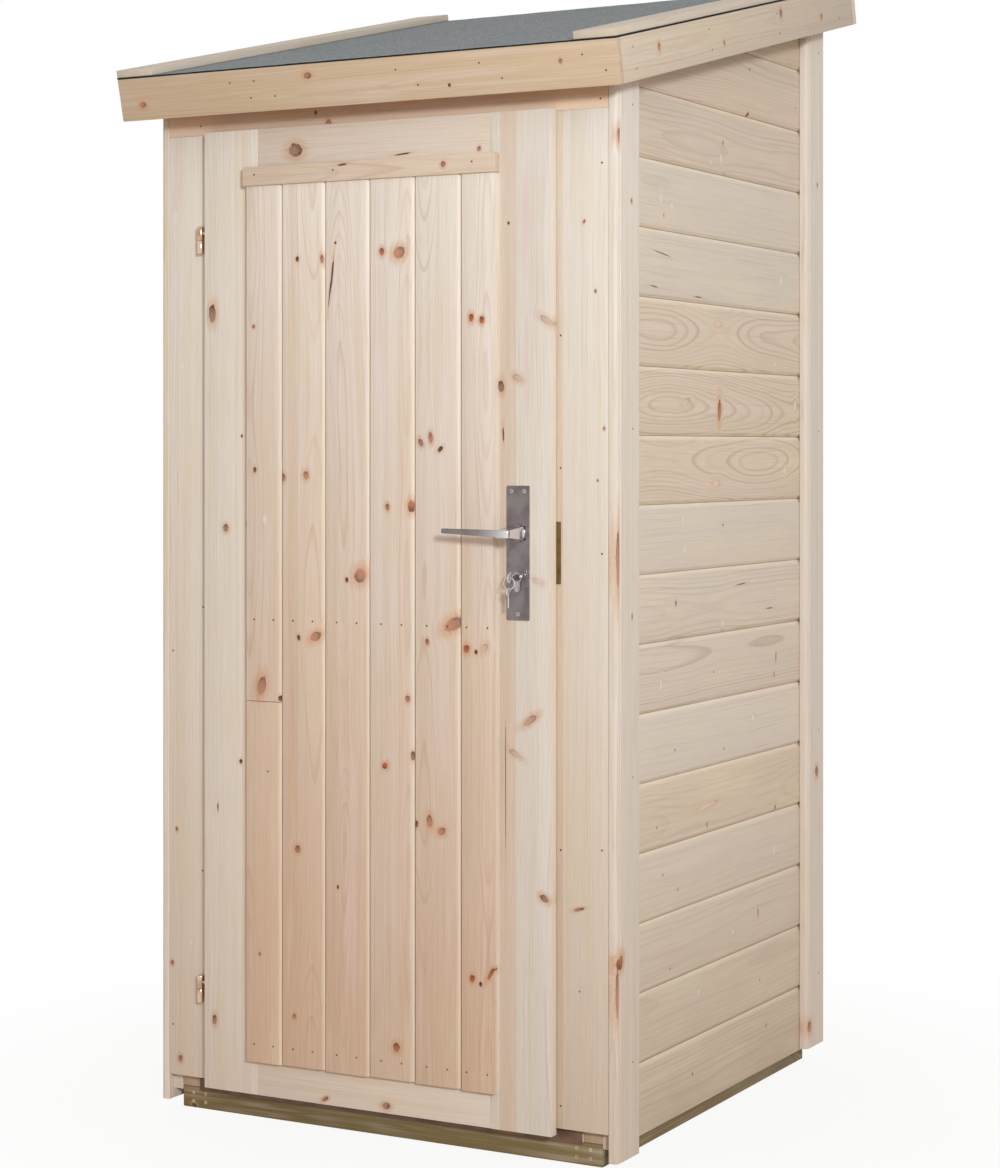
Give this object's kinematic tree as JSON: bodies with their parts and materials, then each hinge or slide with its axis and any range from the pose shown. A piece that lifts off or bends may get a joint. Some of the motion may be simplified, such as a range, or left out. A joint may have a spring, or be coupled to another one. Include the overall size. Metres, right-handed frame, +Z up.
{
  "type": "tool shed",
  "caption": "Narrow softwood tool shed with a pent roof rising to the back, a lockable boarded door on barrel hinges, and timber bearers.",
  "frame": {"origin": "on the ground, at the middle of the whole shed seen from above", "axes": "+Z up; the door faces -Y, and its hinges are on the -X side"},
  "size_m": [0.986, 1.0768, 2.1032],
  "materials": {
    "wall_boards": "planed, unpainted spruce",
    "front_boards": "planed, unpainted spruce",
    "trim_wood": "planed, unpainted spruce",
    "frame_timber": "planed, unpainted spruce",
    "floor_boards": "planed, unpainted spruce",
    "fascia_wood": "planed, unpainted spruce",
    "door_frame_wood": "planed, unpainted spruce",
    "door_panel_wood": "planed, knotty spruce with warm heartwood",
    "treated_timber": "green pressure treated",
    "roofing_felt": "bitumen felt faced with slate granules",
    "threshold_metal": "dull mill",
    "strike_metal": "dark, dull",
    "hinge_brass": "polished",
    "lock_case_steel": "dull zinc grey",
    "handle_steel": "satin"
  },
  "bodies": {
    "shed": {"bearer_front": "treated_timber", "bearer_back": "treated_timber", "bearer_left": "treated_timber", "bearer_right": "treated_timber", "floor": "floor_boards", "threshold": "threshold_metal", "post_front_left": "frame_timber", "post_front_right": "frame_timber", "post_back_left": "frame_timber", "post_back_right": "frame_timber", "head_rail": "frame_timber", "rafters": "frame_timber", "wall_left": "wall_boards", "wall_right": "wall_boards", "wall_back": "wall_boards", "front_board_left": "front_boards", "front_board_right": "front_boards", "header_board": "front_boards", "corner_trim_front_left": "trim_wood", "corner_trim_front_right": "trim_wood", "corner_trim_back_left": "trim_wood", "corner_trim_back_right": "trim_wood", "roof_deck": "floor_boards", "roof_felt": "roofing_felt", "fascia_front": "fascia_wood", "fascia_back": "fascia_wood", "fascia_left": "fascia_wood", "fascia_right": "fascia_wood", "roof_strip_left": "fascia_wood", "roof_strip_right": "fascia_wood", "strike_plate": "strike_metal", "hinge_frame_halves": "hinge_brass"},
    "door": {"door_stile_left": "door_frame_wood", "door_stile_right": "door_frame_wood", "door_rail_top": "door_frame_wood", "door_rail_bottom": "door_frame_wood", "door_panel": "door_panel_wood", "drip_batten": "door_panel_wood", "door_ledges": "door_frame_wood", "lock_case": "lock_case_steel", "lock_plates": "handle_steel", "lock_cylinder": "handle_steel", "hinge_door_halves": "hinge_brass"},
    "lever": {"lever_handles": "handle_steel"},
    "key": {"keys": "handle_steel"}
  },
  "joints": [
    {"name": "door_swing", "type": "hinge", "parent": "shed", "child": "door", "pos_m": [-0.362, -0.46424, 0.887], "axis": [0, 0, -1], "range_deg": [0, 120]},
    {"name": "lever_turn", "type": "hinge", "parent": "door", "child": "lever", "pos_m": [0.284, -0.47574, 1.042], "axis": [0, -1, 0], "range_deg": [0, 45], "stiffness_Nm_per_rad": 0.6, "springref_deg": -45.84},
    {"name": "key_turn", "type": "hinge", "parent": "door", "child": "key", "pos_m": [0.284, -0.47974, 0.969], "axis": [0, -1, 0], "continuous": true}
  ]
}
